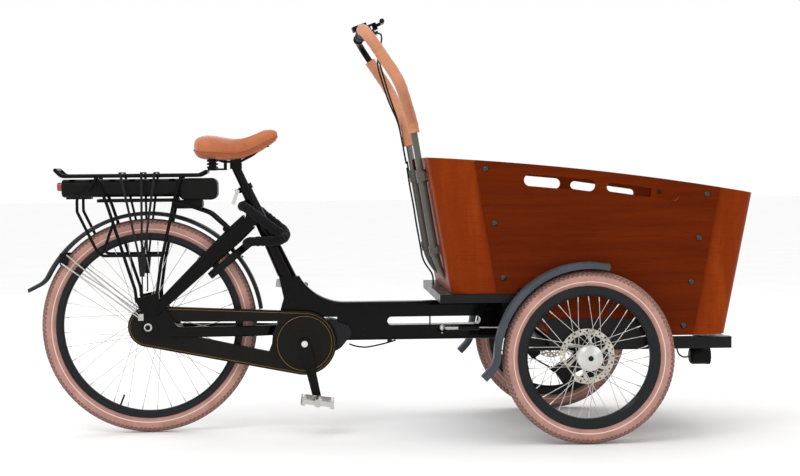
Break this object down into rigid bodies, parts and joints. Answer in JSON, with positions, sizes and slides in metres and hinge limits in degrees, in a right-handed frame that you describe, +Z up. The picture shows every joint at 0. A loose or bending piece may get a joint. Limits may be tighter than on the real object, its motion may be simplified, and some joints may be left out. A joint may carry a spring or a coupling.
{
  "type": "cargo bicycle",
  "caption": "Electric cargo tricycle with a wooden box between two steered front wheels, a low beam frame, a padded loop handlebar and one chain-driven rear wheel.",
  "frame": {"origin": "on the ground under the middle of the whole vehicle", "axes": "+X forward, +Y to the rider's left, +Z up"},
  "size_m": [2.1508, 0.856, 1.2423],
  "materials": {
    "frame_black": "gloss",
    "black_plastic": "matte",
    "motor_grey": "satin",
    "steel_dark": "satin",
    "steel_bright": "brushed",
    "alu_silver": "satin",
    "rim_black": "satin",
    "tyre_brown": "matte",
    "fender_grey": "satin",
    "post_grey": "satin",
    "ply_red": "oiled",
    "ply_light": "oiled",
    "leather_brown": "satin",
    "leather_tan": "satin",
    "rubber_grey": "matte",
    "rubber_black": "matte",
    "fabric_grey": "woven",
    "lens_white": "gloss",
    "lens_red": "gloss"
  },
  "bodies": {
    "frame": {"main_beam": "frame_black", "seat_tube": "frame_black", "rear_triangle": "frame_black", "mid_motor": "motor_grey", "chain_case": "black_plastic", "drive_chain": "steel_bright", "rear_carrier": "steel_dark", "luggage_straps": "rubber_grey", "battery_cradle": "black_plastic", "rear_fender": "fender_grey", "rear_fender_stays": "steel_bright", "ring_lock": "black_plastic", "lock_chain": "fabric_grey", "rear_axle": "steel_bright", "seat_collar": "frame_black", "damper_body": "steel_dark", "frame_cable": "rubber_black"},
    "battery_unit": {"battery": "black_plastic", "rear_light": "lens_red"},
    "collar_lever": {"seat_lever": "steel_bright"},
    "seat": {"seat_post": "alu_silver", "saddle_frame": "steel_dark", "saddle": "leather_brown"},
    "crank": {"chainring": "steel_bright", "crank_arms": "frame_black"},
    "right_pedal": {"pedal_right": "black_plastic"},
    "left_pedal": {"pedal_left": "black_plastic"},
    "sprocket": {"rear_sprocket": "steel_bright"},
    "rear_wheel": {"rear_tyre": "tyre_brown", "rear_rim": "rim_black", "rear_hub": "alu_silver"},
    "lock_bow": {"lock_bolt": "steel_bright"},
    "front": {"front_chassis": "steel_dark", "box_side_panels": "ply_red", "box_front_shell": "ply_light", "box_rear_shell": "ply_light", "box_floor": "ply_red", "box_bolts": "steel_bright", "handlebar_posts": "post_grey", "front_fenders": "fender_grey", "brake_calipers": "frame_black", "brake_hoses": "rubber_black"},
    "front_wheel_right": {"front_right_tyre": "tyre_brown", "front_right_rim": "rim_black", "front_right_hub": "alu_silver", "front_right_rotor": "steel_bright"},
    "front_wheel_left": {"front_left_tyre": "tyre_brown", "front_left_rim": "rim_black", "front_left_hub": "alu_silver", "front_left_rotor": "steel_bright"},
    "bars": {"handlebar": "post_grey", "handlebar_sleeves": "leather_tan", "handlebar_controls": "black_plastic", "handlebar_cables": "rubber_black"},
    "left_brake_lever": {"brake_lever_left": "steel_dark"},
    "right_brake_lever": {"brake_lever_right": "steel_dark"},
    "shifter": {"gear_shifter": "rubber_black"},
    "clamp_lever": {"post_lever": "black_plastic"},
    "lamp": {"headlight": "black_plastic"},
    "damper_piston": {"damper_rod": "steel_bright"}
  },
  "joints": [
    {"name": "battery_slide", "type": "slide", "parent": "frame", "child": "battery_unit", "axis": [-1, 0, 0], "range_m": [0, 0.3]},
    {"name": "collar_lever_turn", "type": "hinge", "parent": "frame", "child": "collar_lever", "pos_m": [-0.44076, 0, 0.73154], "axis": [0, 1, 0], "range_deg": [0, 100]},
    {"name": "seat_height", "type": "slide", "parent": "frame", "child": "seat", "axis": [-0.4141, 0, 0.9102], "range_m": [0, 0.08]},
    {"name": "crank_spin", "type": "hinge", "parent": "frame", "child": "crank", "pos_m": [-0.2415, 0, 0.27], "axis": [0, 1, 0], "continuous": true},
    {"name": "right_pedal_spin", "type": "hinge", "parent": "crank", "child": "right_pedal", "pos_m": [-0.20427, -0.13, 0.10208], "axis": [0, 1, 0], "continuous": true},
    {"name": "left_pedal_spin", "type": "hinge", "parent": "crank", "child": "left_pedal", "pos_m": [-0.27873, 0.13, 0.43792], "axis": [0, 1, 0], "continuous": true},
    {"name": "sprocket_spin", "type": "hinge", "parent": "frame", "child": "sprocket", "pos_m": [-0.7115, -0.051, 0.326], "axis": [0, 1, 0], "continuous": true},
    {"name": "rear_wheel_spin", "type": "hinge", "parent": "frame", "child": "rear_wheel", "pos_m": [-0.7115, 0, 0.326], "axis": [0, 1, 0], "continuous": true},
    {"name": "lock_bow_turn", "type": "hinge", "parent": "frame", "child": "lock_bow", "pos_m": [-0.47602, 0, 0.51668], "axis": [-0.6293, 0, 0.7771], "range_deg": [0, 84]},
    {"name": "steering", "type": "hinge", "parent": "frame", "child": "front", "pos_m": [0.4185, 0, 0.33], "axis": [0, 0, 1], "range_deg": [-30, 30]},
    {"name": "front_right_wheel_spin", "type": "hinge", "parent": "front", "child": "front_wheel_right", "pos_m": [0.5735, -0.385, 0.25], "axis": [0, 1, 0], "continuous": true},
    {"name": "front_left_wheel_spin", "type": "hinge", "parent": "front", "child": "front_wheel_left", "pos_m": [0.5735, 0.385, 0.25], "axis": [0, 1, 0], "continuous": true},
    {"name": "bar_height", "type": "slide", "parent": "front", "child": "bars", "axis": [-0.1628, 0, 0.9867], "range_m": [0, 0.1]},
    {"name": "left_brake", "type": "hinge", "parent": "bars", "child": "left_brake_lever", "pos_m": [-0.0243, 0.158, 1.2187], "axis": [-0.3676, 0, 0.93], "range_deg": [0, 15], "stiffness_Nm_per_rad": 3, "springref_deg": -5.73},
    {"name": "right_brake", "type": "hinge", "parent": "bars", "child": "right_brake_lever", "pos_m": [-0.0243, -0.158, 1.2187], "axis": [0.3676, 0, -0.93], "range_deg": [0, 15], "stiffness_Nm_per_rad": 3, "springref_deg": -5.73},
    {"name": "shifter_turn", "type": "hinge", "parent": "bars", "child": "shifter", "pos_m": [-0.0615, -0.095, 1.204], "axis": [0, 1, 0], "range_deg": [-45, 45]},
    {"name": "clamp_lever_turn", "type": "hinge", "parent": "front", "child": "clamp_lever", "pos_m": [0.1041, 0.183, 0.774], "axis": [-1, 0, 0], "range_deg": [0, 100]},
    {"name": "lamp_tilt", "type": "hinge", "parent": "front", "child": "lamp", "pos_m": [0.9825, 0, 0.243], "axis": [0, 1, 0], "range_deg": [-12, 12]},
    {"name": "damper_slide", "type": "slide", "parent": "frame", "child": "damper_piston", "axis": [1, 0, 0], "range_m": [-0.0285, 0.0285]}
  ],
  "couplings": [
    {"joint": "sprocket_spin", "follows": "crank_spin", "ratio": 2.2222},
    {"joint": "damper_slide", "follows": "steering", "m_per_rad": 0.0535}
  ]
}
